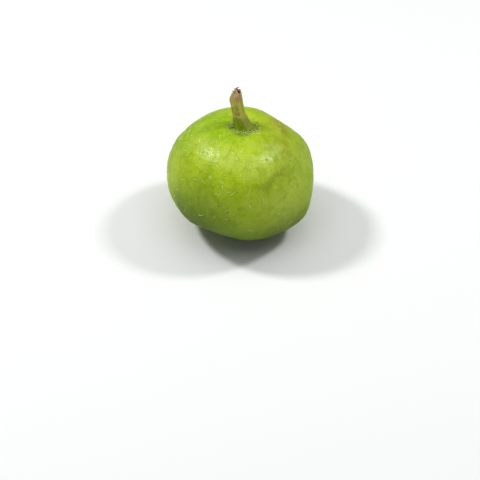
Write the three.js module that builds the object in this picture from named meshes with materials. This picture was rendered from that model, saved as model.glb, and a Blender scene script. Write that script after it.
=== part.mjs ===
// An apple gourd (tinda): a round green fruit, a little wider than it is high, with the cut stem
// still on. It leans slightly and rests on a small flat spot. Millimetres, +Z up, and -Y is the
// fruit's front. The origin is the middle of the whole part's footprint, on the resting surface.
import * as THREE from "three";

// --- Fruit ---
const HALF_WIDTH = 30.9; // from the axis to the widest line
const STEM_END_RISE = 27.5; // from the widest line up to the stem end, before its dimple is pressed in
const BLOSSOM_END_DROP = 25; // from the widest line down to the blossom end
const UPPER_FULLNESS = 2.12; // exponent of the upper profile: 2 is an ellipse, more is fuller
const LOWER_FULLNESS = 2.2;
const DIMPLE_DEPTH = 2.2; // the shallow dimple that the stem stands in
const DIMPLE_RADIUS = 7;
const LEAN = 6.5; // degrees from upright
const LEAN_TOWARDS = 50; // degrees round from +X
const FLAT_SPOT_DEPTH = 0.8; // how much of the underside the flat spot takes away

// The faint lobes round the widest line: how many, their share of the radius, and where one is.
const LOBES = [
  { count: 2, share: 0.012, azimuth: 160 },
  { count: 3, share: 0.01, azimuth: 20 },
  { count: 5, share: 0.005, azimuth: 50 },
];

// Broad swells and flats of an uneven fruit. Each is centred at an azimuth and at an angle down from
// the stem end, fades over its spread in degrees, and stands out by its height (or in, below zero).
const SWELLS = [
  { azimuth: 42, polar: 50, spread: 18, height: -1.0 }, // sloping right shoulder
  { azimuth: 22, polar: 66, spread: 16, height: 1.0 }, // right flank
  { azimuth: -22, polar: 110, spread: 16, height: 1.2 }, // right hip
  { azimuth: 80, polar: 38, spread: 22, height: 0.9 }, // high rim behind the stem
  { azimuth: 145, polar: 52, spread: 18, height: -0.7 }, // left shoulder
  { azimuth: -164, polar: 112, spread: 20, height: -0.9 }, // left hip
  { azimuth: -112, polar: 136, spread: 24, height: -3.2 }, // flat where another fruit pressed
];

// --- Stem ---
const STEM_LENGTH = 18.2; // from the bottom of the dimple to the tip
const STEM_RADIUS = 2.7; // over its middle
const BUTT_SWELL = 0.9; // the stem thickens towards the fruit
const BUTT_REACH = 0.28; // as a share of its length
const TIP_TAPER = 0.44; // share of its radius that it loses at the tip
const TAPER_FROM = 0.76; // share of its length where that starts
const SWAY = 3.4; // the stem bows this far towards -X
const TIP_RETURN = 0.85; // and its tip comes this far back
const RETURN_FROM = 0.8; // from this share of its length
const SET_BACK = 1.5; // the tip ends this far towards +Y of the foot
const RIDGES = 5;
const RIDGE_SHARE = 0.05; // ridge height as a share of the radius
const TIP_SLANT = 1.4; // the broken tip is this much lower on its low side
const TIP_LOW_SIDE = -50; // azimuth of that side
const TIP_HOLLOW = 1.2; // depth of the torn hollow in the tip

const GAP = 0.3; // between the stem's foot and the skin under it

// --- Mesh fineness ---
const FRUIT_SEGMENTS = 60;
const FRUIT_RINGS = 40;
const STEM_SEGMENTS = 25;
const STEM_RINGS = 18;

const radians = THREE.MathUtils.degToRad;

// Unit vector at an azimuth from +X and a polar angle down from +Z, both in degrees.
function directionOf(azimuth, polar) {
  const a = radians(azimuth);
  const p = radians(polar);
  return new THREE.Vector3(Math.sin(p) * Math.cos(a), Math.sin(p) * Math.sin(a), Math.cos(p));
}

const leanAxis = directionOf(LEAN_TOWARDS + 90, 90);
const leanTurn = new THREE.Quaternion().setFromAxisAngle(leanAxis, radians(LEAN));
const swells = SWELLS.map((swell) => ({ ...swell, middle: directionOf(swell.azimuth, swell.polar) }));

// The skin in one direction from the fruit's centre, leaned but not yet standing on its flat spot:
// a superellipse of revolution, times the lobes, plus the swells, with the dimple pressed in.
function skinPoint(direction) {
  const across = Math.hypot(direction.x, direction.y);
  const upper = direction.z > 0;
  const halfHeight = upper ? STEM_END_RISE : BLOSSOM_END_DROP;
  const fullness = upper ? UPPER_FULLNESS : LOWER_FULLNESS;
  const sideTerm = Math.pow(across / HALF_WIDTH, fullness);
  const endTerm = Math.pow(Math.abs(direction.z) / halfHeight, fullness);
  const azimuth = Math.atan2(direction.y, direction.x);
  let lobes = 0;
  for (const lobe of LOBES) {
    lobes += lobe.share * Math.cos(lobe.count * (azimuth - radians(lobe.azimuth)));
  }
  let radius = Math.pow(sideTerm + endTerm, -1 / fullness) * (1 + lobes * across ** 2);
  for (const swell of swells) {
    const away = direction.angleTo(swell.middle) / radians(swell.spread);
    radius += swell.height * Math.exp(-(away ** 2));
  }
  const point = direction.clone().multiplyScalar(radius);
  if (upper) {
    const fromAxis = Math.hypot(point.x, point.y) / DIMPLE_RADIUS;
    point.z -= DIMPLE_DEPTH * Math.exp(-(fromAxis ** 2));
  }
  return point.applyQuaternion(leanTurn);
}

// Height of the upper skin over a place near the stem, found by correcting the direction to it.
function skinHeightOver(x, y) {
  const upright = leanTurn.clone().invert();
  const aim = new THREE.Vector3(x, y, STEM_END_RISE);
  let found = aim.clone();
  for (let step = 0; step < 8; step++) {
    found = skinPoint(aim.clone().applyQuaternion(upright).normalize());
    aim.x += x - found.x;
    aim.y += y - found.y;
  }
  return found.z;
}

// Moves every vertex of a geometry whose axis is +Z to where the rule puts it.
function reshape(geometry, rule) {
  const places = geometry.getAttribute("position");
  const place = new THREE.Vector3();
  for (let i = 0; i < places.count; i++) {
    const moved = rule(place.fromBufferAttribute(places, i));
    places.setXYZ(i, moved.x, moved.y, moved.z);
  }
  geometry.computeVertexNormals();
  geometry.computeBoundingBox();
  return geometry;
}

// A unit sphere with its poles on Z, pushed out to the skin.
function fruitGeometry() {
  const sphere = new THREE.SphereGeometry(1, FRUIT_SEGMENTS, FRUIT_RINGS).rotateX(Math.PI / 2);
  return reshape(sphere, (vertex) => skinPoint(vertex.normalize()));
}

// The stem's radius at a share of its length, in one direction round it.
function stemRadius(share, angle) {
  const butt = BUTT_SWELL * Math.exp(-((share / BUTT_REACH) ** 2));
  const taper = 1 - TIP_TAPER * THREE.MathUtils.smoothstep(share, TAPER_FROM, 1);
  const ridges = 1 + RIDGE_SHARE * Math.cos(RIDGES * angle);
  return (STEM_RADIUS + butt) * taper * ridges;
}

// A unit cylinder with its ends on Z, bent and swelled into the stem. Its foot follows the skin, its
// tip is slanted, and the middle of the tip is sunk.
function stemGeometry() {
  const cylinder = new THREE.CylinderGeometry(1, 1, 1, STEM_SEGMENTS, STEM_RINGS).rotateX(Math.PI / 2);
  const pole = skinPoint(new THREE.Vector3(0, 0, 1));
  return reshape(cylinder, (vertex) => {
    const share = vertex.z + 0.5;
    const outwards = Math.min(Math.hypot(vertex.x, vertex.y), 1);
    const angle = Math.atan2(vertex.y, vertex.x);
    const radius = outwards * stemRadius(share, angle);
    const footX = pole.x + radius * Math.cos(angle);
    const footY = pole.y + radius * Math.sin(angle);
    const lowSide = (outwards * (1 + Math.cos(angle - radians(TIP_LOW_SIDE)))) / 2;
    const tip = pole.z + STEM_LENGTH - TIP_SLANT * lowSide - TIP_HOLLOW * (1 - outwards);
    const foot = skinHeightOver(footX, footY) + GAP;
    const bow = SWAY * (1 - (1 - share) ** 2);
    return new THREE.Vector3(
      footX - bow + TIP_RETURN * THREE.MathUtils.smoothstep(share, RETURN_FROM, 1),
      footY + SET_BACK * share,
      THREE.MathUtils.lerp(foot, tip, share),
    );
  });
}

const fruit = new THREE.Mesh(
  fruitGeometry(),
  new THREE.MeshStandardMaterial({ name: "skin", color: "#9ab33a", roughness: 0.4, metalness: 0 }),
);
fruit.name = "fruit";

const stem = new THREE.Mesh(
  stemGeometry(),
  new THREE.MeshStandardMaterial({ name: "stem", color: "#85823a", roughness: 0.7, metalness: 0 }),
);
stem.name = "stem";

// Stand the part: its floor is the flat spot's depth above the fruit's lowest point, and what is
// below that is pressed flat onto it.
const box = fruit.geometry.boundingBox.clone();
const floor = box.min.z + FLAT_SPOT_DEPTH;
const middle = box.getCenter(new THREE.Vector3());
for (const mesh of [fruit, stem]) {
  reshape(mesh.geometry, (vertex) => {
    vertex.set(vertex.x - middle.x, vertex.y - middle.y, Math.max(vertex.z - floor, 0));
    return vertex;
  });
}

const part = new THREE.Group();
part.add(fruit, stem);

export default part;
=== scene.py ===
"""An apple gourd with its cut stem, on a pale studio floor.

The fruit's skin and the stem are surfaces worked out from a few sizes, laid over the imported
solids. Hairs, foot bristles and torn fibres are added on them. Metres, +Z up, -Y is the front.
"""

import math

import bpy
import numpy as np
from bpy.props import FloatProperty, FloatVectorProperty, IntProperty, PointerProperty
from bpy.types import Operator, Panel, PropertyGroup
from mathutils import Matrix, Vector


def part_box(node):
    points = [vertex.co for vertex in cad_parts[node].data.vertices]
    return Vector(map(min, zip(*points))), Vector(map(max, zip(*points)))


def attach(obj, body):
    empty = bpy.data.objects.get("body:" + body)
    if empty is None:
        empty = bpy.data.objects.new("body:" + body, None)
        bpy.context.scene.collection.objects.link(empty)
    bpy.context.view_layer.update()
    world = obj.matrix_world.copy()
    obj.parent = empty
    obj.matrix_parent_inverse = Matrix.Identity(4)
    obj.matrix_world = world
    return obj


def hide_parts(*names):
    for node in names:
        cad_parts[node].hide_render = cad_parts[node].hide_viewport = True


bl_info = {
    "name": "Apple Gourd",
    "version": (1, 0, 0),
    "blender": (4, 5, 0),
    "location": "View3D > Sidebar > Gourd",
    "description": "Makes an apple gourd with its stem, hairs and studio",
    "category": "Object",
}

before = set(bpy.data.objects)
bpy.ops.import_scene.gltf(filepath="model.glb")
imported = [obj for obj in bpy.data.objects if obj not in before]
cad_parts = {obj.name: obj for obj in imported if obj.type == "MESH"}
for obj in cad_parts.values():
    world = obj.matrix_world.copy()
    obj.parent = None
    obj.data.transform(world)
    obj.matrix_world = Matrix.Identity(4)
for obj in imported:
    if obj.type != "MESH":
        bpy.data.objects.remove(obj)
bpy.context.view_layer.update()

BODY = "root"
MM = 0.001
FRUIT_LOW, FRUIT_HIGH = (np.array(corner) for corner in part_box("fruit"))

# Broad swells and flats of the uneven fruit: azimuth and angle down from the stem end, spread,
# all in degrees, and height in metres.
SWELLS = (
    (42, 50, 18, -1.0 * MM),
    (22, 66, 16, 1.0 * MM),
    (-22, 110, 16, 1.2 * MM),
    (80, 38, 22, 0.9 * MM),
    (145, 52, 18, -0.7 * MM),
    (-164, 112, 20, -0.9 * MM),
    (-112, 136, 24, -3.2 * MM),
)

# Faint lobes round the widest line: count, share of the radius, azimuth in degrees.
LOBES = ((2, 0.012, 160), (3, 0.01, 20), (5, 0.005, 50))

# Soft patches of colour on the skin, by colour: azimuth and angle down from the stem end in
# degrees, reach in millimetres, and strength.
PATCHES = (
    # Sunny: a yellower tone with painted light on the lit shoulder; the small patch at (-159, 39) is a
    # painted highlight.
    ("sunny_and_painted_light", (
        (-98, 39, 15, 0.75), (-74, 44, 11, 0.95), (-116, 44, 8, 0.65), (-139, 53, 8, 0.6),
        (-159, 39, 3.5, 0.8), (-8, 26, 7, 0.5), (62, 22, 12, 0.4), (110, 70, 16, 0.4),
    )),
    ("lime", (
        (-168, 30, 11, 0.9), (-138, 23, 9, 0.8), (-108, 20, 6, 0.5), (150, 22, 10, 0.9),
        (168, 42, 13, 0.8), (-168, 54, 8, 0.6), (40, 100, 18, 0.5),
    )),
    # Leaf: deeper green bands; (158, 47) to (172, 66) are painted shade along the far rim, and (5, 10) and
    # (60, 9) are a painted stem shadow.
    ("leaf_and_painted_shade", (
        (-125, 68, 8, 0.7), (-95, 64, 7, 0.25), (85, 84, 12, 0.35), (158, 47, 8, 0.8),
        (132, 41, 9, 0.6), (126, 30, 8, 0.8), (62, 29, 8, 0.65), (148, 58, 10, 0.8),
        (172, 66, 11, 0.8), (5, 10, 4.5, 0.7), (60, 9, 4, 0.5),
    )),
    # Olive: a duller tone; the patch at (34, 31) is partly painted shade along the far rim.
    ("olive", (
        (-28, 46, 14, 0.75), (0, 38, 10, 0.45), (-50, 57, 8, 0.5), (-38, 28, 9, 0.6),
        (25, 16, 8, 0.6), (34, 31, 7, 0.8),
    )),
    ("bloom", (
        (-20, 54, 9, 0.75), (-36, 65, 13, 0.75), (-56, 78, 14, 0.8), (-47, 90, 16, 1.00),
        (-76, 72, 8, 0.4), (-172, 78, 14, 0.9), (-108, 79, 9, 0.35), (130, 74, 18, 0.5),
    )),
    # Painted sheen: pale patches round the highlights on the lit shoulder.
    ("painted_sheen", (
        (-157, 41, 6, 0.5), (-132, 41, 6, 0.35), (-110, 43, 8, 0.6), (-84, 48, 8, 0.5),
        (-70, 50, 8, 0.7), (-28, 58, 7, 0.4),
    )),
    ("blush", (
        (16, 33, 6.5, 1.00), (3, 38, 5, 0.8), (27, 37, 4.5, 0.7), (-26, 38, 5.5, 0.45),
        (-33, 45, 4.5, 0.4), (96, 52, 9, 0.45),
    )),
)

# Where the skin is darker: azimuth and angle down in degrees, reach in metres, and strength.
SHADES = (
    (-129, 102, 23 * MM, 0.62),
    (-117, 84, 12 * MM, 0.12),
    (0, 116, 16 * MM, 0.15),
)

# Dark pin specks and pale pores: azimuth and angle down in degrees, and radius in millimetres.
PINS = (
    (-141, 46, 0.4), (-136, 45, 0.32), (-138, 42, 0.26), (-156, 46, 0.3),
    (176, 53, 0.36), (-62, 43, 0.42), (-27, 48, 0.34), (-34, 52, 0.4),
    (-100, 85, 0.42), (-100, 81, 0.36), (-107, 81, 0.4), (-135, 76, 0.34),
)
PORES = ((-120, 61, 0.75), (-111, 72, 0.65), (-92, 54, 0.5), (-60, 66, 0.55))

# Small knobs on the skin: azimuth and angle down, spread, all in degrees, and height in metres.
KNOBS = ((-71, 43, 10, 0.26 * MM), (-136, 43, 7, 0.12 * MM), (-160, 38, 4, 0.08 * MM))

# Mottling of the skin: size in metres, detail, and how much it lightens and darkens.
MOTTLING = (
    (13 * MM, 3, 0.45, 0.45),
    (6 * MM, 3, 0.6, 0.55),
    (2.6 * MM, 4, 0.62, 0.6),
    (1.1 * MM, 3, 0.26, 0.28),
)

# Waves that make the skin uneven: how many, and the least and most radians they turn through in
# one unit of direction. Dents are broad and pits are small.
DENTS, DENT_PACE = 24, (5, 22)
PITS, PIT_PACE = 40, (35, 80)
SCAR_RING_PACE = 5200.0  # radians per metre outwards from the blossom end
NORMAL_STEP = 0.004  # of direction, for working out a normal

# Slanted directions that cross products start from. Only a vector exactly along one would fail.
SKIN_ASIDE = np.array([0.31, 0.52, 0.79])
HAIR_ASIDE = np.array([0.29, 0.41, 0.86])

# The stem's waves round it, and its mesh: columns, rows up its side and rows down its hollow.
RIDGES = 5
CREASES = (9, 14, 19, 27)
JAGS = (3, 7, 12)
STEM_COLUMNS, SIDE_ROWS, HOLLOW_ROWS = 144, 110, 26

FOOT_HAIRS_FROM = 7.6  # degrees down from the stem end
FOOT_HAIR_GAP = 0.25 * MM  # from a hair's spine to the outline of the stem's foot

FLOOR_REACH = 2.5
# Square soft boxes: name, azimuth and elevation in degrees, distance and side in metres.
BOXES = (("left", -103, 52, 0.9, 0.13), ("right", 102, 52, 0.9, 0.13), ("top", 0, 84, 1.2, 1.2))

# A faint healed graze on the front right: its two ends as azimuth and angle down, in degrees.
GRAZE = ((-46, 56), (-72, 65))

# Hairs with a place of their own on the front: azimuth, angle down, heading from level towards
# the stem end, all in degrees, and length in millimetres.
FRONT_HAIRS = (
    (-142, 24, -40, 3.4), (-130, 26, -10, 3.0), (-134, 22, 40, 2.6), (-105, 22, -30, 1.7),
    (-95, 36, 65, 3.3), (-108, 35, -30, 3.4), (-101, 40, -45, 1.8), (-157, 44, 137, 2.8),
    (-126, 49, 20, 3.0), (-120, 50, -45, 2.7), (-85, 43, -80, 3.3), (-109, 57, 20, 2.6),
    (-134, 64, 105, 2.2), (-148, 70, 80, 2.0), (-148, 76, 40, 3.4), (-152, 88, 40, 3.4),
    (-110, 74, 50, 2.8), (-100, 71, 45, 3.1), (-73, 71, -75, 3.0), (-83, 76, -70, 2.2),
    (-141, 102, 60, 3.0), (-125, 95, 25, 3.2), (-84, 101, -5, 3.0),
)

# Fibres at the stem's tip: angle round the rim in degrees, shares of the way up, outwards and
# over to the right, length and root radius in millimetres.
TIP_FIBRES = (
    (125, 0.9, -0.1, 1.2, 1.4, 0.24), (185, 0.15, 1.0, -0.1, 1.1, 0.2),
    (95, 0.9, 0.1, 0.3, 0.7, 0.12), (60, 0.7, 0.5, 0.2, 0.6, 0.1),
    (205, 0.7, 0.8, -0.2, 0.7, 0.1), (-20, 0.6, 0.6, 0.2, 0.5, 0.1),
    (150, 1.0, 0.4, -0.6, 0.8, 0.11), (-60, 0.8, 0.3, 0.2, 0.4, 0.1),
)


def direction_of(azimuth, polar):
    """Unit vectors at angles in degrees: azimuth from +X, polar down from +Z."""
    a = np.radians(azimuth)
    p = np.radians(polar)
    return np.stack(np.broadcast_arrays(np.sin(p) * np.cos(a), np.sin(p) * np.sin(a), np.cos(p)), -1)


def unit(vectors):
    """The vectors at length one."""
    return vectors / np.linalg.norm(vectors, axis=-1, keepdims=True)


def smoothstep(low, high, values):
    """0 below low, 1 above high, and 3t^2 - 2t^3 between them."""
    t = np.clip((values - low) / (high - low), 0, 1)
    return t * t * (3 - 2 * t)


def bell(distance, spread):
    """exp of minus the square of distance over spread."""
    return np.exp(-((distance / spread) ** 2))


# --- Settings ---


def length(name, description, millimetres):
    """A length property, given in millimetres and kept in metres."""
    return number(name, description, millimetres * MM, unit="LENGTH", precision=5)


def number(name, description, default, **kind):
    """A plain number property."""
    return FloatProperty(name=name, description=description, default=default, **kind)


def whole(name, description, default):
    """A whole number property."""
    return IntProperty(name=name, description=description, default=default)


def angle(name, description, degrees):
    """An angle property, given in degrees and kept in radians."""
    return number(name, description, math.radians(degrees), subtype="ANGLE")


def colour(name, description, red, green, blue):
    """A linear colour property."""
    return FloatVectorProperty(
        name=name, description=description, default=(red, green, blue), size=3,
        subtype="COLOR", min=0, max=1,
    )


class GourdFruit(PropertyGroup):
    """Shape of the fruit's body."""

    half_width: length("Half width", "From the axis to the widest line", 30.9)
    stem_end_rise: length("Stem end rise", "From the widest line up to the stem end", 27.5)
    blossom_end_drop: length("Blossom end drop", "From the widest line down to the blossom end", 25)
    upper_fullness: number("Upper fullness", "Exponent of the upper profile", 2.12)
    lower_fullness: number("Lower fullness", "Exponent of the lower profile", 2.2)
    dimple_depth: length("Dimple depth", "Of the dimple that the stem stands in", 2.2)
    dimple_radius: length("Dimple radius", "Of the dimple that the stem stands in", 7)
    lean: angle("Lean", "Of the fruit's axis from upright", 6.5)
    lean_towards: angle("Lean towards", "Azimuth that the fruit leans to", 50)
    flat_spot: length("Flat spot", "How much the flat spot takes off the underside", 0.8)
    dents: length("Dents", "Steepness of the broad dents, as height per radian", 0.22)
    pits: length("Pits", "Steepness of the small pits, as height per radian", 0.34)
    rows: whole("Rows", "Mesh rows from pole to pole", 200)
    columns: whole("Columns", "Mesh columns round the fruit", 360)
    seed: whole("Seed", "Of the skin's small unevenness", 4)


class GourdSkin(PropertyGroup):
    """Colours and gloss of the skin."""

    ground: colour("Ground", "Main colour", 0.3, 0.435, 0.004)
    ground_pale: colour("Pale ground", "Paler cloud in the main colour", 0.345, 0.49, 0.01)
    # Sunny: a yellower tone, also painted light on the lit shoulder and one small painted highlight.
    sunny_and_painted_light: colour("Sunny", "Yellow green of the lit shoulder", 0.445, 0.59, 0.012)
    lime: colour("Lime", "Fresh green near the stem", 0.225, 0.4, 0.001)
    # Leaf is also painted shade: low down, along the far rim, beside the stem's foot and in the pits.
    leaf_and_painted_shade: colour("Leaf", "Deeper green of single bands", 0.205, 0.33, 0.003)
    olive: colour("Olive", "Duller side of the shoulder", 0.285, 0.36, 0.008)
    blush: colour("Blush", "Brown orange blush", 0.265, 0.18, 0.008)
    bloom: colour("Bloom", "Greyish waxy bloom", 0.39, 0.5, 0.046)
    # Painted sheen: the pale patches round the highlights on the shoulder.
    painted_sheen: colour("Wax", "Pale wax on the lit shoulder", 0.48, 0.6, 0.085)
    shade: colour("Shade", "What the lower side's colour is multiplied by", 0.23, 0.29, 0.08)
    speck: colour("Speck", "Dark pin specks", 0.07, 0.09, 0.003)
    cork: colour("Cork", "Healed scar tissue", 0.3, 0.17, 0.07)
    pore: colour("Pore", "Pale pores", 0.6, 0.73, 0.2)
    # Graze: painted shade along the groove of the graze.
    graze_shade: colour("Graze", "Healed graze", 0.19, 0.23, 0.03)
    ring: colour("Ring", "Deep green round the stem's foot", 0.125, 0.2, 0.002)
    dust: colour("Dust", "Dusty grains round the stem's foot", 0.42, 0.44, 0.17)
    roughness: number("Roughness", "Of the waxy skin", 0.25, subtype="FACTOR")


class GourdStem(PropertyGroup):
    """Shape and colours of the stem."""

    length: length("Length", "From the dimple to the tip", 18.2)
    radius: length("Radius", "Over the middle of the stem", 2.7)
    butt_swell: length("Butt swell", "Extra radius towards the fruit", 0.9)
    butt_reach: number("Butt reach", "Of the swell, as a share of the length", 0.28)
    tip_taper: number("Tip taper", "Share of the radius lost at the tip", 0.44)
    sway: length("Sway", "How far the stem bows towards -X", 3.4)
    tip_return: length("Tip return", "How far the tip comes back towards +X", 0.85)
    set_back: length("Set back", "How far the tip ends towards +Y", 1.5)
    tip_slant: length("Tip slant", "How much lower the broken tip is on one side", 0.9)
    tip_hollow: length("Tip hollow", "Depth of the torn hollow", 1.5)
    ridge: length("Ridge", "Height of the five soft ridges", 0.14)
    green: colour("Green", "Fresh lower part", 0.235, 0.345, 0.001)
    khaki: colour("Khaki", "Drying upper part", 0.6, 0.59, 0.125)
    olive: colour("Olive", "Olive streaks in the upper part", 0.375, 0.4, 0.025)
    patch: colour("Patch", "Brown foot of the oval patch", 0.36, 0.235, 0.008)
    bark: colour("Bark", "Dry brown edge", 0.37, 0.28, 0.095)
    scar: colour("Scar", "Pale scar line", 0.62, 0.6, 0.24)
    grey: colour("Grey", "Weathered side", 0.27, 0.275, 0.06)
    torn: colour("Torn", "Torn tissue at the tip", 0.6, 0.37, 0.22)
    # Hollow: painted shade, darker with depth inside the tip.
    hollow: colour("Hollow", "Inside of the tip", 0.05, 0.012, 0.008)
    pit: colour("Pit", "Small dark specks", 0.12, 0.12, 0.008)
    thread: colour("Thread", "Dark fibres and threads", 0.15, 0.15, 0.01)
    seed: whole("Seed", "Of the creases and the broken rim", 3)


class GourdHairs(PropertyGroup):
    """Hairs on the skin, bristles round the stem's foot and fibres in its tip."""

    skin_count: whole("Skin hairs", "How many are scattered", 150)
    skin_length: length("Skin hair length", "Average", 2.7)
    skin_radius: length("Skin hair radius", "At the root", 0.09)
    foot_count: whole("Foot hairs", "How many ring the stem", 112)
    foot_length: length("Foot hair length", "Average", 2.3)
    pale: colour("Pale", "Of most hairs", 0.8, 0.9, 0.33)
    pale_low: colour("Pale low", "Darker tone of most hairs", 0.62, 0.74, 0.2)
    fresh: colour("Fresh", "Of the pale bristles", 0.84, 0.9, 0.38)
    fresh_low: colour("Fresh low", "Darker tone of the pale bristles", 0.48, 0.58, 0.12)
    dry: colour("Dry", "Of the dead bristles", 0.06, 0.06, 0.02)
    dry_low: colour("Dry low", "Darker tone of the dead bristles", 0.02, 0.02, 0.01)
    fibre: colour("Fibre", "Of the torn fibres", 0.11, 0.095, 0.075)
    fibre_low: colour("Fibre low", "Darker tone of the torn fibres", 0.04, 0.03, 0.025)
    seed: whole("Seed", "Of where the hairs grow", 11)


class GourdStage(PropertyGroup):
    """Camera, lights and floor."""

    distance: number("Distance", "Camera to the fruit's middle", 0.9, unit="LENGTH")
    elevation: angle("Elevation", "Of the camera above the fruit", 40)
    aim_below: angle("Aim below", "How far the camera looks below the fruit's middle", 1.76)
    lens: number("Lens", "Focal length in mm", 159.4)
    left_power: number("Left power", "Left soft box", 4.8, unit="POWER")
    right_power: number("Right power", "Right soft box", 3.35, unit="POWER")
    top_power: number("Top power", "Soft box overhead", 6.2, unit="POWER")
    sky: number("Sky", "Strength of the white surroundings", 0.2)


# --- The fruit's shape ---


class Skin:
    """The skin as a function of direction from the fruit's centre, standing in the CAD box."""

    def __init__(self, fruit):
        self.fruit = fruit
        lean_side = fruit.lean_towards + math.pi / 2
        self.lean_axis = np.array([math.cos(lean_side), math.sin(lean_side), 0])
        draws = np.random.default_rng(fruit.seed)
        pace = np.concatenate([draws.uniform(*DENT_PACE, DENTS), draws.uniform(*PIT_PACE, PITS)])
        self.waves = unit(draws.normal(size=(DENTS + PITS, 3))) * pace[:, None]
        self.wave_heights = np.where(pace < PIT_PACE[0], fruit.dents, fruit.pits) / pace
        self.phases = draws.uniform(0, 2 * np.pi, DENTS + PITS)
        trial = self.leaned(sphere_directions(90, 120), relief=False)
        low, high = trial.min((0, 1)), trial.max((0, 1))
        middle = (low + high) / 2
        box_middle = (FRUIT_LOW + FRUIT_HIGH) / 2
        self.shift = box_middle - middle
        self.shift[2] = -(low[2] + fruit.flat_spot)
        self.pole = self.at(0, 0)

    def bare(self, direction):
        """Superellipse of revolution, times the lobes, plus the swells, less the dimple."""
        fruit = self.fruit
        across = np.hypot(direction[..., 0], direction[..., 1])
        upper = direction[..., 2] > 0
        half_height = np.where(upper, fruit.stem_end_rise, fruit.blossom_end_drop)
        fullness = np.where(upper, fruit.upper_fullness, fruit.lower_fullness)
        side_term = (across / fruit.half_width) ** fullness
        end_term = (np.abs(direction[..., 2]) / half_height) ** fullness
        azimuth = np.arctan2(direction[..., 1], direction[..., 0])
        lobes = sum(
            share * np.cos(count * (azimuth - math.radians(at))) for count, share, at in LOBES
        )
        radius = (side_term + end_term) ** (-1 / fullness) * (1 + lobes * across**2)
        for at, down, spread, height in SWELLS:
            away = np.arccos(np.clip(direction @ direction_of(at, down), -1, 1))
            radius = radius + height * bell(away, math.radians(spread))
        point = direction * radius[..., None]
        from_axis = np.hypot(point[..., 0], point[..., 1])
        point[..., 2] -= upper * fruit.dimple_depth * bell(from_axis, fruit.dimple_radius)
        return point

    def relief(self, direction):
        """Small heights: broad dents and small pits as sums of waves, which fade out at the stem
        end, with the knobs, the groove of the graze and the sunk blossom scar."""
        waves = np.sin(direction @ self.waves.T + self.phases) @ self.wave_heights
        calm = smoothstep(0.1, 0.3, np.hypot(direction[..., 0], direction[..., 1]))
        start, end = (direction_of(*place) for place in GRAZE)
        along = np.clip((direction - start) @ (end - start) / np.sum((end - start) ** 2), 0, 1)
        nearest = start + along[..., None] * (end - start)
        from_graze = np.linalg.norm(direction - nearest, axis=-1) * self.fruit.half_width
        groove = -0.11 * MM * bell(from_graze, 1.5 * MM)
        from_end = np.arccos(np.clip(-direction[..., 2], -1, 1)) * self.fruit.blossom_end_drop
        scar = -0.3 * MM * bell(from_end, 3.2 * MM) + 0.12 * MM * bell(from_end - 4.2 * MM, 0.8 * MM)
        knobs = sum(
            height * bell(np.linalg.norm(direction - direction_of(at, down), axis=-1), math.radians(spread))
            for at, down, spread, height in KNOBS
        )
        return waves * calm + groove + scar + knobs

    def leaned(self, direction, relief=True):
        """The skin point, turned by the lean about a level axis through the centre."""
        point = self.bare(direction)
        if relief:
            point = point + direction * self.relief(direction)[..., None]
        return self.turned(point, self.fruit.lean)

    def turned(self, vectors, angle):
        """Rodrigues' formula about the lean axis."""
        axis = self.lean_axis
        turned = vectors * math.cos(angle) + np.cross(axis, vectors) * math.sin(angle)
        return turned + axis * ((vectors @ axis) * (1 - math.cos(angle)))[..., None]

    def points(self, direction, relief=True):
        """Finished skin points: leaned, moved into the CAD box, and pressed flat on the floor."""
        point = self.leaned(direction, relief) + self.shift
        point[..., 2] = np.maximum(point[..., 2], 0)
        return point

    def at(self, azimuth, polar):
        """Finished points at angles in degrees."""
        return self.points(direction_of(azimuth, polar))

    def normals(self, direction):
        """Outward normals, from the cross product of two small steps over the skin."""
        side = unit(np.cross(direction, SKIN_ASIDE))
        other = np.cross(direction, side)
        here = self.points(direction)
        along_side = self.points(unit(direction + side * NORMAL_STEP)) - here
        along_other = self.points(unit(direction + other * NORMAL_STEP)) - here
        return unit(np.cross(along_side, along_other))

    def over(self, x, y):
        """Upper skin points over places near the stem, by correcting the direction to them."""
        aim = np.stack([x, y, np.full_like(x, FRUIT_HIGH[2])], -1) - self.shift
        for _ in range(8):
            found = self.points(unit(self.turned(aim, -self.fruit.lean)), relief=False)
            aim[..., 0] += x - found[..., 0]
            aim[..., 1] += y - found[..., 1]
        return found


def sphere_directions(rows, columns):
    """Directions on a grid from the blossom end up to the stem end, poles left out."""
    polar = np.linspace(180, 0, rows + 2)[1:-1]
    azimuth = np.linspace(0, 360, columns, endpoint=False)
    return direction_of(azimuth[None, :], polar[:, None])


# --- Meshes ---


def tube_faces(rows, columns):
    """Quads between rings of vertices, and the fans that close the first and the last ring. The
    two fans' middles come after the rings' vertices."""
    here = np.arange(rows * columns).reshape(rows, columns)
    beside = np.roll(here, -1, axis=1)
    quads = np.stack([here[:-1], beside[:-1], beside[1:], here[1:]], -1).reshape(-1, 4)
    first, last = rows * columns, rows * columns + 1
    first_fan = np.stack([beside[0], here[0], np.full(columns, first)], -1)
    last_fan = np.stack([here[-1], beside[-1], np.full(columns, last)], -1)
    return quads, np.concatenate([first_fan, last_fan])


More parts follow.
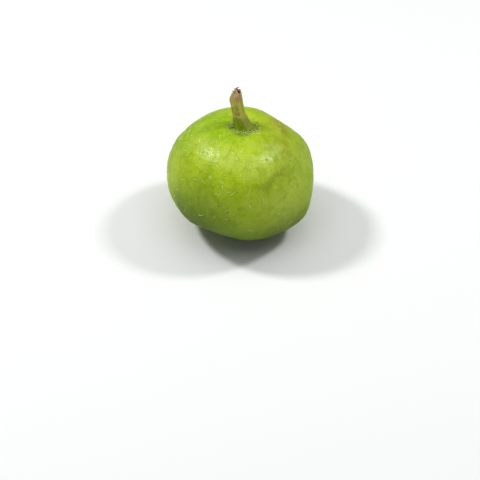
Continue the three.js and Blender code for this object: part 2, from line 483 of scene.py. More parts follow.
def closed_shell(name, rings, first_tip, last_tip):
    """A closed mesh: rings of points that run anticlockwise, the first lowest, with a point at
    each end that closes it by a fan. Its map unrolls it, rings across and columns round."""
    rows, columns = rings.shape[:2]
    vertices = np.concatenate([rings.reshape(-1, 3), first_tip[None], last_tip[None]])
    quads, fans = tube_faces(rows, columns)
    mesh = bpy.data.meshes.new(name)
    mesh.from_pydata(vertices, [], quads.tolist() + fans.tolist())
    column = np.tile(np.arange(columns), rows - 1)
    row = np.repeat(np.arange(rows - 1), columns)
    quad_map = np.stack([column, row, column + 1, row, column + 1, row + 1, column, row + 1], -1)
    fan = np.arange(columns)
    zero, top = np.zeros(columns), np.full(columns, rows - 1)
    low_map = np.stack([fan + 1, zero, fan, zero, fan + 0.5, zero - 1], -1)
    high_map = np.stack([fan, top, fan + 1, top, fan + 0.5, top + 1], -1)
    places = np.concatenate([part.reshape(-1, 2) for part in (quad_map, low_map, high_map)])
    places = (places + [0, 1]) / [columns, rows + 1]
    mesh.uv_layers.new(name="OFBake").uv.foreach_set("vector", places.astype(np.float32).ravel())
    return finished(mesh)


def hair_bunch(name, spines, radii, sides=4):
    """Many thin closed hairs in one mesh. Each is a tube round its spine that narrows to a point.

    spines is hairs x knots x 3, and radii is hairs x (knots - 1). The tube's rings lie square
    to the spine, and the last knot closes it. A point at the root closes the other end.
    """
    count, knots = spines.shape[:2]
    ahead = unit(np.gradient(spines, axis=1))
    across = unit(np.cross(ahead, HAIR_ASIDE))
    up = np.cross(ahead, across)
    turn = np.linspace(0, 2 * np.pi, sides, endpoint=False)
    ring = across[:, :-1, None] * np.cos(turn)[:, None] + up[:, :-1, None] * np.sin(turn)[:, None]
    tube = spines[:, :-1, None] + ring * radii[:, :, None, None]
    rings = knots - 1
    per_hair = rings * sides + 2
    body = tube.reshape(count, -1, 3)
    vertices = np.concatenate([body, spines[:, :1], spines[:, -1:]], 1).reshape(-1, 3)
    quads, fans = tube_faces(rings, sides)
    shift = (np.arange(count) * per_hair)[:, None, None]
    faces = (quads[None] + shift).reshape(-1, 4).tolist() + (fans[None] + shift).reshape(-1, 3).tolist()
    mesh = bpy.data.meshes.new(name)
    mesh.from_pydata(vertices, [], faces)
    return finished(mesh)


def store(piece, name, values):
    """Keeps one number or one vector for each vertex."""
    kind, field = ("FLOAT", "value") if values.ndim == 1 else ("FLOAT_VECTOR", "vector")
    kept = piece.data.attributes.new(name, kind, "POINT")
    kept.data.foreach_set(field, values.astype(np.float32).ravel())


def linked(name, data):
    """A new object in the scene."""
    made = bpy.data.objects.new(name, data)
    bpy.context.scene.collection.objects.link(made)
    return made


def finished(mesh):
    """Smooth, linked and riding on the body."""
    mesh.validate()
    mesh.shade_smooth()
    piece = linked(mesh.name, mesh)
    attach(piece, BODY)
    return piece


# --- Materials ---


class Finish:
    """One procedural material. Each method adds a node and returns its output."""

    def __init__(self, name):
        self.material = bpy.data.materials.new(name)
        self.material.use_nodes = True
        tree = self.material.node_tree
        self.nodes, self.links = tree.nodes, tree.links
        self.shader = self.nodes["Principled BSDF"]
        self.place = self.node("ShaderNodeTexCoord").outputs["Object"]

    def feed(self, socket, value):
        """Links an output to the socket, or sets it to a number or a colour."""
        if isinstance(value, bpy.types.NodeSocket):
            self.links.new(value, socket)
        elif socket.type == "RGBA":
            socket.default_value = (*value, 1)
        else:
            socket.default_value = value

    def node(self, kind, inputs=None, **settings):
        made = self.nodes.new(kind)
        for name, value in settings.items():
            setattr(made, name, value)
        for key, value in (inputs or {}).items():
            self.feed(made.inputs[key], value)
        return made

    def set(self, **values):
        """Constants or links on the shader's own sockets, such as base_color."""
        for name, value in values.items():
            label = name.replace("_", " ").title().replace("Ior", "IOR")
            self.feed(self.shader.inputs[label], value)

    def maths(self, operation, first, second=0.0, third=0.0):
        inputs = {0: first, 1: second, 2: third}
        return self.node("ShaderNodeMath", inputs, operation=operation).outputs[0]

    def vector(self, operation, first, second=(0, 0, 0), scale=None):
        inputs = {0: first, 1: second}
        if scale is not None:
            inputs["Scale"] = scale
        made = self.node("ShaderNodeVectorMath", inputs, operation=operation)
        return made.outputs["Value" if operation in ("DISTANCE", "DOT_PRODUCT", "LENGTH") else "Vector"]

    def times(self, first, second):
        return self.maths("MULTIPLY", first, second)

    def off(self, places, point):
        """How far places are from a point."""
        return self.vector("DISTANCE", places, tuple(point))

    def strayed(self, value, noise, reach):
        """The value, moved by the noise by up to half of reach either way."""
        return self.maths("ADD", value, self.times(self.maths("SUBTRACT", noise, 0.5), reach))

    def parts(self, vector):
        return self.node("ShaderNodeSeparateXYZ", {0: vector}).outputs

    def join(self, x, y, z):
        return self.node("ShaderNodeCombineXYZ", {0: x, 1: y, 2: z}).outputs[0]

    def ramp(self, value, low, high, bottom=0.0, top=1.0):
        """Bottom up to low, top from high, with a smooth step between them."""
        inputs = {"Value": value, "From Min": low, "From Max": high, "To Min": bottom, "To Max": top}
        return self.node("ShaderNodeMapRange", inputs, interpolation_type="SMOOTHSTEP").outputs[0]

    def noise(self, size, detail=3.0, roughness=0.5, at=None, warp=0.0):
        """Noise whose features are about size metres across."""
        inputs = {
            "Vector": at or self.place, "Scale": 1 / size, "Detail": detail,
            "Roughness": roughness, "Distortion": warp,
        }
        return self.node("ShaderNodeTexNoise", inputs).outputs[0]

    def cells(self, size, at=None, **settings):
        """Voronoi cells about size metres across."""
        inputs = {"Vector": at or self.place, "Scale": 1 / size}
        return self.node("ShaderNodeTexVoronoi", inputs, **settings).outputs

    def drift(self, size, reach):
        """A vector that wanders by about reach metres over size metres."""
        inputs = {"Vector": self.place, "Scale": 1 / size, "Detail": 2}
        wander = self.node("ShaderNodeTexNoise", inputs).outputs["Color"]
        return self.vector("SCALE", self.vector("SUBTRACT", wander, (0.5, 0.5, 0.5)), scale=reach)

    def scattered(self, size, radius, share_empty):
        """Round spots, one in some cells of the size, with their radius as a share of it."""
        cells = self.cells(size)
        spot = self.ramp(cells["Distance"], radius * 1.5, radius * 0.6)
        full = self.ramp(self.parts(cells["Color"])[1], share_empty, share_empty + 0.05)
        return self.times(spot, full)

    def mix(self, factor, first, second, blend="MIX"):
        made = self.node(
            "ShaderNodeMix", {0: factor, 6: first, 7: second}, data_type="RGBA", blend_type=blend
        )
        return made.outputs[2]

    def lay(self, tint, tone, value, low, high, strength=1.0, blend="MIX"):
        """The tint, with tone over it where value has gone from low to high."""
        return self.mix(self.ramp(value, low, high, 0, strength), tint, tone, blend)

    def bump(self, height, metres, normal=None):
        inputs = {"Strength": 1.0, "Distance": metres, "Height": height}
        if normal is not None:
            inputs["Normal"] = normal
        return self.node("ShaderNodeBump", inputs).outputs[0]


def skin_finish(skin, tones):
    """Waxy green skin: clouds, patches with painted sheen, light and shade, meridian streaks, specks, graze
    and blossom scar.
    """
    f = Finish("waxy_skin")
    cloud = f.noise(20 * MM, 3, 0.5)
    tint = f.lay(tones.ground, tones.ground_pale, cloud, 0.38, 0.62)

    # Places drift a little, so that no patch has a plain round edge.
    drifted = f.vector("ADD", f.place, f.drift(9 * MM, 6 * MM))
    drifted = f.vector("ADD", drifted, f.drift(2.5 * MM, 1.6 * MM))

    _, to_back, height = f.parts(drifted)
    # Deeper green towards the bottom all round: painted shade.
    tint = f.lay(tint, tones.leaf_and_painted_shade, height, 26 * MM, 4 * MM, 0.5)

    for name, places in PATCHES:
        for azimuth, polar, reach_mm, strength in places:
            away = f.off(drifted, skin.at(azimuth, polar))
            reach = reach_mm * MM
            tint = f.lay(tint, getattr(tones, name), away, reach, 0.1 * reach, strength)

    # Streaks run along the meridians: noise that changes fast round the axis and slowly down it.
    grown = f.node("ShaderNodeAttribute", attribute_name="grown").outputs["Vector"]
    x, y, z = f.parts(grown)
    around = f.vector("NORMALIZE", f.join(x, y, 0.0))
    x, y, _ = f.parts(around)
    streak_place = f.join(x, y, f.times(z, 0.16))
    fine_streak = f.noise(0.03, 3, 0.6, at=streak_place, warp=0.4)
    broad_streak = f.noise(0.16, 2, 0.5, at=streak_place, warp=0.2)
    calm = f.ramp(f.off(f.place, skin.pole), 10 * MM, 22 * MM, 0.35, 1)
    tint = f.mix(f.times(f.ramp(fine_streak, 0.52, 0.7, 0, 0.24), calm), tint, tones.leaf_and_painted_shade)
    tint = f.mix(f.times(f.ramp(fine_streak, 0.46, 0.3, 0, 0.2), calm), tint, tones.bloom)
    tint = f.lay(tint, tones.leaf_and_painted_shade, broad_streak, 0.5, 0.7, 0.38)

    # Mottling at four scales, lighter and darker than the ground under it.
    for size, detail, lighter, darker in MOTTLING:
        mottle = f.noise(size, detail, 0.6, warp=0.5)
        tint = f.lay(tint, tones.bloom, mottle, 0.5, 0.72, lighter)
        tint = f.lay(tint, tones.leaf_and_painted_shade, mottle, 0.48, 0.28, darker)
    grit = f.noise(0.55 * MM, 3, 0.7)
    tint = f.lay(tint, tones.sunny_and_painted_light, grit, 0.54, 0.72, 0.24)
    tint = f.lay(tint, tones.leaf_and_painted_shade, grit, 0.46, 0.28, 0.26)

    # The lower side is darker, most of all in front.
    for azimuth, polar, reach, strength in SHADES:
        away = f.off(drifted, skin.at(azimuth, polar))
        tint = f.lay(tint, tones.shade, away, reach, 0.1 * reach, strength, "MULTIPLY")
    tint = f.lay(tint, tones.shade, height, 14 * MM, 0.0, 0.65, "MULTIPLY")
    in_front = f.ramp(to_back, -4 * MM, -20 * MM)
    front_low = f.times(f.ramp(height, 32 * MM, 9 * MM, 0, 0.92), in_front)
    tint = f.mix(front_low, tint, tones.shade, "MULTIPLY")

    # Pits, pores and pin specks, scattered in some cells, and a few in places of their own.
    pits = f.scattered(1.8 * MM, 0.2, 0.35)
    pale = f.scattered(3.4 * MM, 0.11, 0.8)
    dark = f.scattered(4.6 * MM, 0.05, 0.66)
    for spots, kind in ((PORES, "pale"), (PINS, "dark")):
        for azimuth, polar, radius_mm in spots:
            radius = radius_mm * MM
            away = f.off(f.place, skin.at(azimuth, polar))
            spot = f.ramp(away, radius * 1.5, radius * 0.4, 0, 0.8)
            if kind == "pale":
                pale = f.maths("MAXIMUM", pale, spot)
            else:
                dark = f.maths("MAXIMUM", dark, spot)
    # The pits are darker: painted shade in them.
    tint = f.mix(f.times(pits, 0.22), tint, tones.leaf_and_painted_shade)
    tint = f.mix(f.times(pale, 0.42), tint, tones.pore)
    tint = f.mix(f.times(dark, 0.7), tint, tones.speck)

    # The graze: painted shade of its groove, a darker line between two points of the skin, and a browner
    # bruise near one end.
    start, end = (skin.at(*place) for place in GRAZE)
    run = end - start
    along = f.vector("DOT_PRODUCT", f.vector("SUBTRACT", drifted, tuple(start)), tuple(run))
    along = f.node("ShaderNodeClamp", {0: f.maths("DIVIDE", along, float(run @ run))}).outputs[0]
    nearest = f.vector("ADD", f.vector("SCALE", tuple(run), scale=along), tuple(start))
    from_graze = f.vector("DISTANCE", drifted, nearest)
    tint = f.lay(tint, tones.graze_shade, from_graze, 3.6 * MM, 0.3 * MM, 0.34)
    bruise = f.off(drifted, start + 0.3 * run)
    tint = f.lay(tint, tones.blush, bruise, 1.8 * MM, 0.3 * MM, 0.5)

    # The blossom scar: cork in faint rings, with a pale halo.
    from_scar = f.off(f.place, skin.at(0, 180))
    tint = f.lay(tint, tones.bloom, from_scar, 9 * MM, 4 * MM, 0.6)
    ring_place = f.maths("ADD", from_scar, f.times(f.noise(1.5 * MM), 1.2 * MM))
    rings = f.maths("SINE", f.times(ring_place, SCAR_RING_PACE))
    cork = f.lay(tones.cork, tones.speck, rings, -1, 1, 0.5)
    scar = f.ramp(ring_place, 5 * MM, 4.2 * MM)
    tint = f.mix(scar, tint, cork)

    # Round the foot of the stem the skin is a deeper, dustier green.
    from_stem = f.off(drifted, skin.at(-104, 4.5))
    tint = f.lay(tint, tones.leaf_and_painted_shade, from_stem, 9.0 * MM, 4 * MM, 0.6)
    tint = f.lay(tint, tones.ring, from_stem, 6.4 * MM, 4.4 * MM, 0.6)
    dust = f.times(f.ramp(from_stem, 8.5 * MM, 5 * MM, 0, 0.3), f.ramp(grit, 0.48, 0.66))
    tint = f.mix(dust, tint, tones.dust)

    normal = f.bump(f.noise(1.3 * MM, 3, 0.6), 0.11 * MM)
    normal = f.bump(grit, 0.03 * MM, normal)
    normal = f.bump(fine_streak, 0.03 * MM, normal)
    normal = f.bump(f.maths("SUBTRACT", pale, f.maths("MAXIMUM", dark, pits)), 0.07 * MM, normal)
    rough = f.ramp(mottle, 0.3, 0.7, tones.roughness - 0.04, tones.roughness + 0.12)
    off_shoulder = f.off(drifted, skin.at(-99, 42))
    rough = f.maths("ADD", rough, f.ramp(off_shoulder, 15 * MM, 27 * MM, 0, 0.3))
    rough = f.maths("ADD", rough, f.times(scar, 0.35))
    f.set(base_color=tint, roughness=rough, normal=normal, ior=1.45, specular_ior_level=0.24)
    return f.material


def stem_finish(tones):
    """Drying stalk: green at the foot, khaki above, an oval scar patch, and a torn tip."""
    f = Finish("dry_stalk")
    stalk = f.node("ShaderNodeAttribute", attribute_name="stalk").outputs["Vector"]
    depth = f.node("ShaderNodeAttribute", attribute_name="depth").outputs["Fac"]
    x, _, z = f.parts(stalk)
    blotch = f.noise(1.7 * MM, 3, 0.6, at=stalk)
    fibre_place = f.vector("MULTIPLY", stalk, (1, 1, 0.11))
    fibres = f.noise(0.75 * MM, 4, 0.7, at=fibre_place)
    specks = f.noise(0.4 * MM, 3, 0.7, at=stalk)
    height = f.strayed(z, blotch, 3.5 * MM)

    # Upper part: khaki with olive streaks, browner on the left and grey green on the right.
    upper = f.lay(tones.khaki, tones.olive, fibres, 0.42, 0.58, 0.9)
    upper = f.lay(upper, tones.bark, x, -1.4 * MM, -2.5 * MM, 0.6)
    upper = f.lay(upper, tones.olive, x, 0.9 * MM, 2.3 * MM, 0.75)
    upper = f.lay(upper, tones.grey, blotch, 0.52, 0.74, 0.4)
    near_tip = f.ramp(height, tones.length - 5.0 * MM, tones.length - 2.2 * MM, 0, 0.9)
    upper = f.mix(near_tip, upper, tones.bark)

    # Lower part: green, which turns into a weathered olive grey on the right.
    green = f.lay(tones.green, tones.olive, fibres, 0.42, 0.62, 0.5)
    side = f.strayed(x, blotch, 4.0 * MM)
    low_side = f.maths("SUBTRACT", side, f.ramp(height, 5 * MM, 0.5 * MM, 0, 1.2 * MM))
    lower = f.lay(green, tones.grey, low_side, -0.6 * MM, 1.8 * MM, 0.85)
    tint = f.lay(lower, upper, height, 4.6 * MM, 7.0 * MM)
    tint = f.lay(tint, tones.green, height, 2.6 * MM, 0.5 * MM, 0.7)

    # The oval patch where something broke off: brown at its foot and its top, and edged by a
    # pale raised line below.
    oval = f.vector("MULTIPLY", stalk, (1, 1, 0.62))
    centre = (-0.45 * MM, -2.66 * MM, 9.5 * 0.62 * MM)
    from_patch = f.vector("DISTANCE", oval, centre)
    from_patch = f.strayed(from_patch, blotch, 1.8 * MM)
    inside = f.ramp(from_patch, 1.9 * MM, 0.9 * MM)
    foot = f.ramp(height, 10.0 * MM, 7.6 * MM, 0.1, 0.85)
    tint = f.mix(f.times(inside, foot), tint, tones.patch)
    line = f.ramp(f.maths("ABSOLUTE", f.maths("SUBTRACT", from_patch, 1.7 * MM)), 0.36 * MM, 0.06 * MM)
    low_line = f.times(line, f.ramp(height, 8.6 * MM, 7.0 * MM, 0, 0.85))
    high_line = f.times(line, f.ramp(height, 9.0 * MM, 10.4 * MM, 0, 0.45))
    tint = f.mix(low_line, tint, tones.scar)
    tint = f.mix(high_line, tint, tones.patch)

    # The tip: torn tissue in front of the hollow, darker with depth: painted shade in the hollow.
    torn = f.ramp(height, tones.length - 1.7 * MM, tones.length - 0.9 * MM)
    torn = f.times(torn, f.ramp(x, -1.8 * MM, -0.9 * MM, 0.25, 0.95))
    tint = f.mix(torn, tint, tones.torn)
    rim = f.ramp(fibres, 0.5, 0.62, 0, 0.6)
    tint = f.mix(f.times(torn, rim), tint, tones.patch)
    tint = f.lay(tint, tones.hollow, depth, 0.45 * MM, 1.0 * MM)

    flecks = f.times(f.ramp(specks, 0.6, 0.72, 0, 0.5), f.ramp(x, -0.8 * MM, 1.6 * MM, 0.3, 1))
    tint = f.mix(flecks, tint, tones.scar)
    tint = f.lay(tint, tones.pit, specks, 0.42, 0.28, 0.7)
    tint = f.lay(tint, tones.thread, fibres, 0.46, 0.3, 0.75)
    threads = f.noise(0.34 * MM, 3, 0.6, at=fibre_place)
    tint = f.lay(tint, tones.thread, threads, 0.46, 0.34, 0.42)

    normal = f.bump(fibres, 0.34 * MM)
    normal = f.bump(specks, 0.07 * MM, normal)
    normal = f.bump(f.maths("ADD", low_line, high_line), 0.2 * MM, normal)
    rough = f.ramp(fibres, 0.3, 0.7, 0.55, 0.75)
    f.set(base_color=tint, roughness=rough, normal=normal, ior=1.42, specular_ior_level=0.3)
    return f.material


def hair_finish(name, tone, dark):
    """Stiff hair, lighter and darker along and between hairs."""
    f = Finish(name)
    tint = f.lay(tone, dark, f.noise(1.3 * MM, 2), 0.35, 0.65, 0.45)
    f.set(base_color=tint, roughness=f.ramp(f.noise(0.6 * MM), 0.3, 0.7, 0.4, 0.55), ior=1.5)
    return f.material


# --- Pieces ---


def make_skin(scene):
    """The fruit's skin: the skin function over a sphere of directions."""
    fruit = scene.gourd_fruit
    skin = Skin(fruit)
    directions = sphere_directions(fruit.rows, fruit.columns)
    piece = closed_shell("fruit_skin", skin.points(directions), skin.at(0, 180), skin.pole)
    ends = direction_of(np.zeros(2), np.array([180, 0]))
    store(piece, "grown", np.concatenate([directions.reshape(-1, 3), ends]))
    piece.data.materials.append(skin_finish(skin, scene.gourd_skin))
    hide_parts("fruit")


class Stalk:
    """The stem as a function of its share of length and the angle round it."""

    def __init__(self, stem, skin):
        self.stem = stem
        self.skin = skin
        draws = np.random.default_rng(stem.seed)
        self.crease_phases = draws.uniform(0, 2 * np.pi, len(CREASES))
        self.jag_phases = draws.uniform(0, 2 * np.pi, len(JAGS))

    def radius(self, share, around):
        """Butt swell, taper to the tip, five ridges that twist a little, creases and lumps."""
        stem = self.stem
        base = stem.radius + stem.butt_swell * bell(share, stem.butt_reach) + 0.45 * MM * bell(share, 0.06)
        taper = 1 - stem.tip_taper * smoothstep(0.76, 1, share)
        twist = around + 0.35 * share
        ridges = stem.ridge * np.cos(RIDGES * twist)
        creases = sum(
            np.sin(count * twist + phase + 5 * share) / count
            for count, phase in zip(CREASES, self.crease_phases)
        )
        lumps = np.sin(9 * share + 2 * around) + 0.8 * np.sin(23 * share - 3 * around)
        patch = bell(np.hypot(wrapped(around - math.radians(-121)) * 1.5, (share - 0.46) * 5.6), 1.0)
        return base * taper + ridges + 0.25 * MM * creases + 0.05 * MM * lumps - 0.12 * MM * patch

    def points(self, share, around, outwards=1.0, depth=0.0):
        """A line of the stem runs from the skin at its foot to the broken rim at its tip.
        Outwards shrinks it about its middle, and depth sinks it."""
        stem, pole = self.stem, self.skin.pole
        radius = self.radius(share, around) * outwards
        foot_x = pole[0] + radius * np.cos(around)
        foot_y = pole[1] + radius * np.sin(around)
        foot_z = self.skin.over(foot_x, foot_y)[..., 2]
        low_side = (1 + np.cos(around + math.radians(35))) / 2
        jags = sum(
            np.sin(count * around + phase) / count
            for count, phase in zip(JAGS, self.jag_phases)
        )
        tip = pole[2] + stem.length - stem.tip_slant * low_side + 0.35 * MM * (jags - 0.6)
        x = foot_x - stem.sway * (1 - (1 - share) ** 2) + stem.tip_return * smoothstep(0.8, 1, share)
        y = foot_y + stem.set_back * share
        z = foot_z * (1 - share) + tip * share - depth
        return np.stack([x, y, z], -1)


def wrapped(angles):
    """Angles moved to between minus pi and pi."""
    return (angles + np.pi) % (2 * np.pi) - np.pi


def make_stem(scene):
    """The stem: its outside, then its rim, then down into the torn hollow, which is deepest
    towards the back right."""
    stem = scene.gourd_stem
    stalk = Stalk(stem, Skin(scene.gourd_fruit))
    around = np.linspace(0, 2 * np.pi, STEM_COLUMNS, endpoint=False)[None, :]
    share = np.concatenate([np.linspace(0, 1, SIDE_ROWS), np.ones(HOLLOW_ROWS)])[:, None]
    fold = np.concatenate([np.zeros(SIDE_ROWS), np.linspace(0, 1, HOLLOW_ROWS + 1)[1:]])[:, None]
    outwards = 1 - 0.25 * smoothstep(0, 0.3, fold) - 0.67 * smoothstep(0.25, 1, fold)
    off_centre = np.sin(np.pi * fold) * np.cos(around - math.radians(40))
    rough = 0.1 * MM * np.sin(np.pi * fold) * np.sin(6 * around + 9 * fold)
    depth = stem.tip_hollow * smoothstep(0.1, 0.9, fold) * (0.55 + 0.45 * off_centre) + rough
    depth = depth + 0.5 * stem.tip_hollow * off_centre * (fold > 0)
    share, around, outwards, depth = np.broadcast_arrays(share, around, outwards, depth)
    rings = stalk.points(share, around, outwards, depth)
    piece = closed_shell("cut_stem", rings, rings[0].mean(0), rings[-1].mean(0))
    straight = np.stack([
        stem.radius * outwards * np.cos(around),
        stem.radius * outwards * np.sin(around),
        stem.length * share - depth,
    ], -1).reshape(-1, 3)
    store(piece, "stalk", np.concatenate([straight, [[0, 0, 0], [0, 0, stem.length]]]))
    store(piece, "depth", np.concatenate([depth.ravel(), [0, depth[-1].mean()]]))
    piece.data.materials.append(stem_finish(stem))
    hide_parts("stem")


def lying_spines(skin, start, heading, lengths, lift, curl, knots=7):
    """Spines of hairs that leave the skin and lie down along it.

    Each knot steps from the root over the skin in a heading that turns by curl along the hair,
    and stands off the skin by lift times a curve that rises quickly and then stays.
    """
    share = np.linspace(0, 1, knots)
    east = unit(np.cross(np.array([0, 0, 1.0]), start))
    north = np.cross(start, east)
    bend = heading[:, None] + curl[:, None] * (share - 0.5)
    step = lengths[:, None] / (knots - 1) / skin.fruit.half_width
    go_east = np.cumsum(np.cos(bend) * step, 1)[..., None]
    go_north = np.cumsum(np.sin(bend) * step, 1)[..., None]
    direction = unit(start[:, None] + east[:, None] * go_east + north[:, None] * go_north)
    rise = lift[:, None] * (np.sqrt(share) * 1.15 - 0.15)
    return skin.points(direction) + skin.normals(direction) * rise[..., None]


def clear_of_stem(spines, stalk, gap):
    """Spines moved away from the stem's axis, each as a whole and along the skin, until no knot
    is nearer than gap to the outline of the stem's foot."""
    skin = stalk.skin
    above = spines[..., 2] - skin.over(spines[..., 0], spines[..., 1])[..., 2]
    across = spines[..., :2]
    for _ in range(5):  # moving a hair turns its outline, so a few rounds are needed
        from_axis = across - skin.pole[:2]
        around = np.arctan2(from_axis[..., 1], from_axis[..., 0])
        out = np.hypot(from_axis[..., 0], from_axis[..., 1])
        short = np.maximum(stalk.radius(0.0, around) + gap - out, 0).max(1)
        middle = from_axis.mean(1)
        away = middle / np.hypot(middle[:, 0], middle[:, 1])[:, None]
        across = across + (short[:, None] * away)[:, None]
    under = skin.over(across[..., 0], across[..., 1])[..., 2]
    return np.concatenate([across, (under + above)[..., None]], -1)


def make_skin_hairs(scene):
    """Sparse pale hairs that lie on the skin: those with places of their own on the front, and
    scattered ones over the rest, thickest on the left."""
    hairs = scene.gourd_hairs
    skin = Skin(scene.gourd_fruit)
    draws = np.random.default_rng(hairs.seed)
    azimuth, polar, heading, reach = np.array(FRONT_HAIRS, float).T
    tries = unit(draws.normal(size=(hairs.skin_count * 8, 3)))
    off_front = np.arccos(np.clip(tries @ direction_of(-100, 60), -1, 1))
    off_left = np.arccos(np.clip(tries @ direction_of(180, 60), -1, 1))
    wanted = 0.35 + 0.65 * bell(off_left, 0.9) - 0.25 * bell(off_front, 1.0)
    clear = (np.hypot(tries[:, 0], tries[:, 1]) > 0.24) & (tries[:, 2] > -0.8)
    free = tries[clear & (draws.random(len(tries)) < wanted)][: hairs.skin_count]
    start = np.concatenate([direction_of(azimuth, polar), free])
    count = len(start)
    headings = np.concatenate([np.radians(heading), draws.uniform(0, 2 * np.pi, len(free))])
    shorter = hairs.skin_length * draws.uniform(0.4, 1.15, len(free))
    lengths = np.concatenate([reach * MM, shorter])
    spines = lying_spines(
        skin, start, headings, lengths, draws.uniform(0.06, 0.24, count) * MM, draws.normal(0, 1.1, count)
    )
    width = np.concatenate([draws.uniform(0.95, 1.25, len(reach)), draws.uniform(0.45, 0.95, len(free))])
    taper = np.array([1, 1, 0.95, 0.85, 0.7, 0.5]) * width[:, None]
    piece = hair_bunch("skin_hairs", spines, hairs.skin_radius * taper)
    piece.data.materials.append(hair_finish("pale_hair", hairs.pale, hairs.pale_low))


def make_foot_hairs(scene):
    """Short curled bristles in a ring where the stem meets the skin, pale and dead ones. Any that
    would run into the stem is moved out beside it."""
    hairs = scene.gourd_hairs
    skin = Skin(scene.gourd_fruit)
    stalk = Stalk(scene.gourd_stem, skin)
    draws = np.random.default_rng(hairs.seed + 1)
    for name, share, tone, dark, curl in (
        ("foot_hairs", 0.62, hairs.fresh, hairs.fresh_low, 2.4),
        ("dead_foot_hairs", 0.38, hairs.dry, hairs.dry_low, 1.2),
    ):
        count = int(hairs.foot_count * share)
        place = draws.random(count)
        azimuth = np.where(place < 0.66, draws.normal(-62, 32, count), draws.normal(-158, 12, count))
        azimuth = np.where(place < 0.84, azimuth, draws.uniform(0, 360, count))
        towards_front = 0.5 + 0.5 * np.cos(np.radians(azimuth + 60))
        spread = 1.5 + 8.5 * towards_front + 5.0 * bell(azimuth + 158, 22)
        polar = FOOT_HAIRS_FROM + draws.random(count) ** 1.4 * spread
        start = direction_of(azimuth, polar)
        spines = lying_spines(
            skin, start, draws.uniform(0, 2 * np.pi, count),
            hairs.foot_length * draws.uniform(0.4, 1.2, count),
            draws.uniform(0.1, 0.7, count) * MM, draws.normal(0, curl, count),
        )
        spines = clear_of_stem(spines, stalk, FOOT_HAIR_GAP)
        taper = np.linspace(1, 0.5, 6) * draws.uniform(0.5, 0.95, count)[:, None]
        piece = hair_bunch(name, spines, hairs.skin_radius * taper)
        piece.data.materials.append(hair_finish(name, tone, dark))


def make_tip_fibres(scene):
    """A few torn fibres that stand out of the stem's tip. Each leaves the rim outwards or
    upwards and hooks over towards one side."""
    hairs = scene.gourd_hairs
    stalk = Stalk(scene.gourd_stem, Skin(scene.gourd_fruit))
    around, rise, reach, hook, length_mm, thick = np.array(TIP_FIBRES).T
    around = np.radians(around)
    root = stalk.points(np.ones_like(around), around, 0.86, 0.25 * MM)[:, None]
    out = np.stack([np.cos(around), np.sin(around), np.zeros_like(around)], -1)[:, None]
    share = np.linspace(0, 1, 7)[None, :, None]
    side = np.array([1.0, 0, 0])
    way = np.array([0, 0, 1.0]) * rise[:, None, None] + out * reach[:, None, None]
    way = way + side * hook[:, None, None] * share
    spines = root + way * share * (length_mm * MM)[:, None, None]
    taper = np.array([1, 1, 0.95, 0.85, 0.7, 0.55]) * (thick * MM)[:, None]
    piece = hair_bunch("tip_fibres", spines, taper)
    piece.data.materials.append(hair_finish("dead_fibre", hairs.fibre, hairs.fibre_low))


# --- Studio ---


def around_point(point, azimuth, elevation, distance):
    """The place at a distance from a point: azimuth 0 is in front, towards -Y, and 90 is +X."""
    level = math.cos(elevation)
    way = Vector((math.sin(azimuth) * level, -math.cos(azimuth) * level, math.sin(elevation)))
    return Vector(point) + way * distance


def make_floor():
    """A plain pale floor."""
    mesh = bpy.data.meshes.new("floor")
    reach = FLOOR_REACH
    corners = [(-reach, -reach, 0), (reach, -reach, 0), (reach, reach, 0), (-reach, reach, 0)]
    mesh.from_pydata(corners, [], [(0, 1, 2, 3)])
    floor = linked("floor", mesh)
    f = Finish("pale_floor")
    f.set(base_color=(0.78, 0.79, 0.79), roughness=0.8)
    mesh.materials.append(f.material)


def make_light(name, azimuth, elevation, distance, side, power, target):
    """A square soft box that faces the fruit."""
    light = bpy.data.lights.new(name, "AREA")
    light.shape = "RECTANGLE"
    light.size = side
    light.size_y = side
    light.energy = power
    lamp = linked(name, light)
    lamp.location = around_point(target, math.radians(azimuth), math.radians(elevation), distance)
    lamp.rotation_euler = (target - lamp.location).to_track_quat("-Z", "Y").to_euler()


def make_camera(stage, target):
    """A long lens that looks down on the fruit and a little below its middle."""
    camera_data = bpy.data.cameras.new("camera")
    camera_data.lens = stage.lens
    camera_data.sensor_width = 36
    camera_data.clip_start, camera_data.clip_end = 0.05, 20
    camera = linked("camera", camera_data)
    camera.location = around_point(target, 0, stage.elevation, stage.distance)
    camera.rotation_euler = (math.pi / 2 - stage.elevation - stage.aim_below, 0, 0)
    bpy.context.scene.camera = camera


def make_surroundings(strength):
    """Even white light from all round."""
    world = bpy.data.worlds.new("white_studio")
    world.use_nodes = True
    back = world.node_tree.nodes["Background"]
    back.inputs["Color"].default_value = (1, 1, 1, 1)
    back.inputs["Strength"].default_value = strength
    bpy.context.scene.world = world
    bpy.context.scene.view_settings.view_transform = "Standard"


# --- Operators and panel ---


class GOURD_OT_skin(Operator):
    """Make the fruit's skin"""

    bl_idname = "gourd.skin"
    bl_label = "Skin"

    def execute(self, context):
        make_skin(context.scene)
        return {"FINISHED"}


class GOURD_OT_stem(Operator):
    """Make the cut stem"""

    bl_idname = "gourd.stem"
    bl_label = "Stem"

    def execute(self, context):
        make_stem(context.scene)
        return {"FINISHED"}


class GOURD_OT_skin_hairs(Operator):
    """Make the hairs that lie on the skin"""

    bl_idname = "gourd.skin_hairs"
    bl_label = "Skin Hairs"

    def execute(self, context):
        make_skin_hairs(context.scene)
        return {"FINISHED"}


class GOURD_OT_foot_hairs(Operator):
    """Make the bristles round the stem's foot"""

    bl_idname = "gourd.foot_hairs"
    bl_label = "Foot Hairs"

    def execute(self, context):
        make_foot_hairs(context.scene)
        return {"FINISHED"}


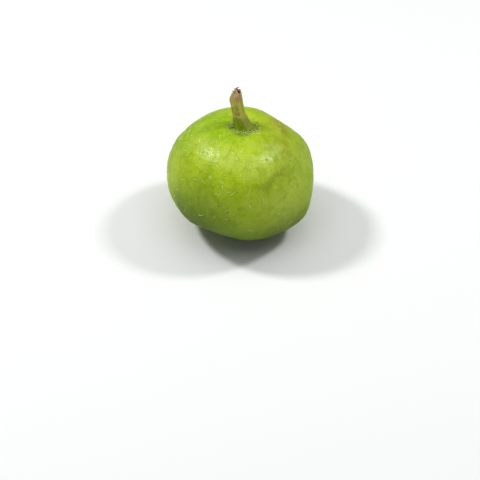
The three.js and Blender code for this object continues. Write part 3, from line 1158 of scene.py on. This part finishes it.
class GOURD_OT_tip_fibres(Operator):
    """Make the torn fibres in the stem's tip"""

    bl_idname = "gourd.tip_fibres"
    bl_label = "Tip Fibres"

    def execute(self, context):
        make_tip_fibres(context.scene)
        return {"FINISHED"}


class GOURD_OT_stage(Operator):
    """Make the floor, lights, surroundings and camera"""

    bl_idname = "gourd.stage"
    bl_label = "Stage"

    def execute(self, context):
        stage = context.scene.gourd_stage
        target = Vector((FRUIT_LOW + FRUIT_HIGH) / 2)
        make_floor()
        make_surroundings(stage.sky)
        for name, *place in BOXES:
            make_light(name + "_box", *place, getattr(stage, name + "_power"), target)
        make_camera(stage, target)
        return {"FINISHED"}


class GOURD_PT_panel(Panel):
    """Lists the gourd's operators"""

    bl_label = "Apple Gourd"
    bl_space_type = "VIEW_3D"
    bl_region_type = "UI"
    bl_category = "Gourd"

    def draw(self, context):
        for operator in OPERATORS:
            self.layout.operator(operator.bl_idname)


SETTINGS = {
    "gourd_fruit": GourdFruit,
    "gourd_skin": GourdSkin,
    "gourd_stem": GourdStem,
    "gourd_hairs": GourdHairs,
    "gourd_stage": GourdStage,
}
OPERATORS = (
    GOURD_OT_stage,
    GOURD_OT_skin,
    GOURD_OT_stem,
    GOURD_OT_skin_hairs,
    GOURD_OT_foot_hairs,
    GOURD_OT_tip_fibres,
)


def register():
    for name, group in SETTINGS.items():
        bpy.utils.register_class(group)
        setattr(bpy.types.Scene, name, PointerProperty(type=group))
    for kind in (*OPERATORS, GOURD_PT_panel):
        bpy.utils.register_class(kind)


def unregister():
    for kind in (GOURD_PT_panel, *reversed(OPERATORS)):
        bpy.utils.unregister_class(kind)
    for name, group in reversed(SETTINGS.items()):
        delattr(bpy.types.Scene, name)
        bpy.utils.unregister_class(group)


def main():
    register()
    bpy.ops.gourd.stage()
    bpy.ops.gourd.skin()
    bpy.ops.gourd.stem()
    bpy.ops.gourd.skin_hairs()
    bpy.ops.gourd.foot_hairs()
    bpy.ops.gourd.tip_fibres()


if __name__ == "__main__":
    main()
